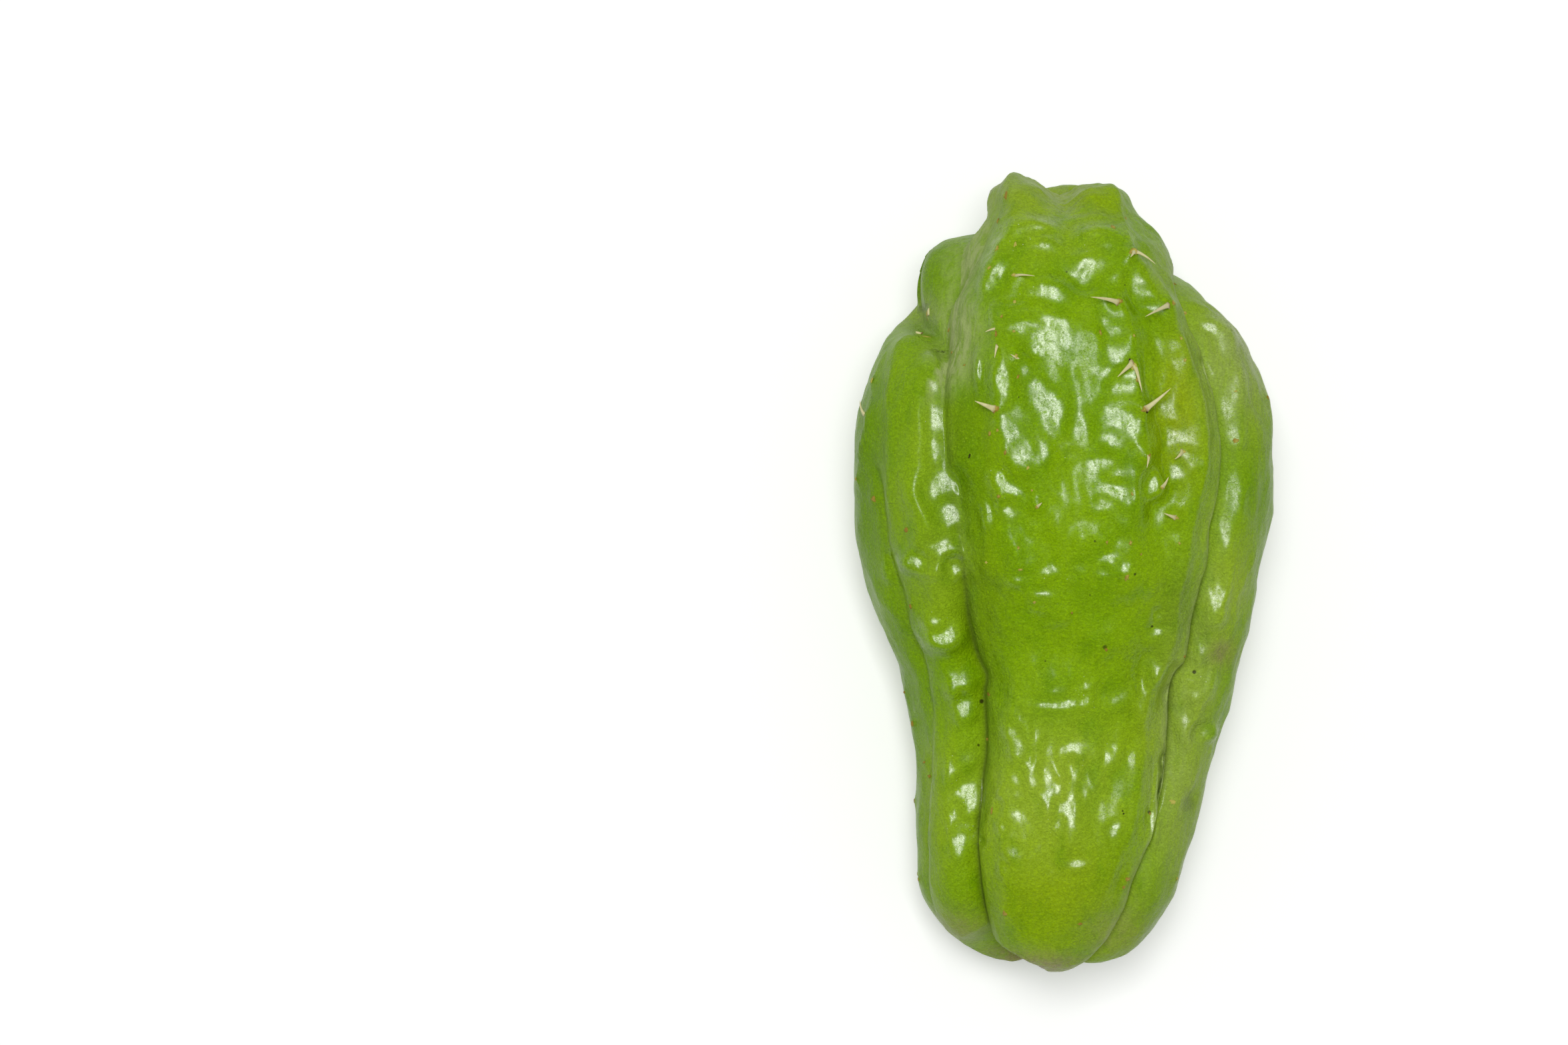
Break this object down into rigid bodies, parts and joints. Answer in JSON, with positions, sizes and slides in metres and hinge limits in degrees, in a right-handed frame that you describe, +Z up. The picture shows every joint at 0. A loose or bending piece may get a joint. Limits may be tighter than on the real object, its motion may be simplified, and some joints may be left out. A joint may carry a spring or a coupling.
{
  "type": "chayote squash",
  "caption": "Whole chayote squash lying on its side, a lobed, furrowed green pear shape with soft prickles, for props, kitchens and market displays.",
  "frame": {"origin": "bottom centre of the bounding box, on the plane that the fruit rests on", "axes": "+Y along the fruit from the narrow stem end to the broad blossom end, +Z up through the broadest lobe, +X to the right seen from above"},
  "size_m": [0.078, 0.1475, 0.0657],
  "materials": {
    "skin": "waxy yellow-green rind with a soft, broken gloss"
  },
  "bodies": {
    "root": {"fruit": "skin"}
  },
  "joints": []
}
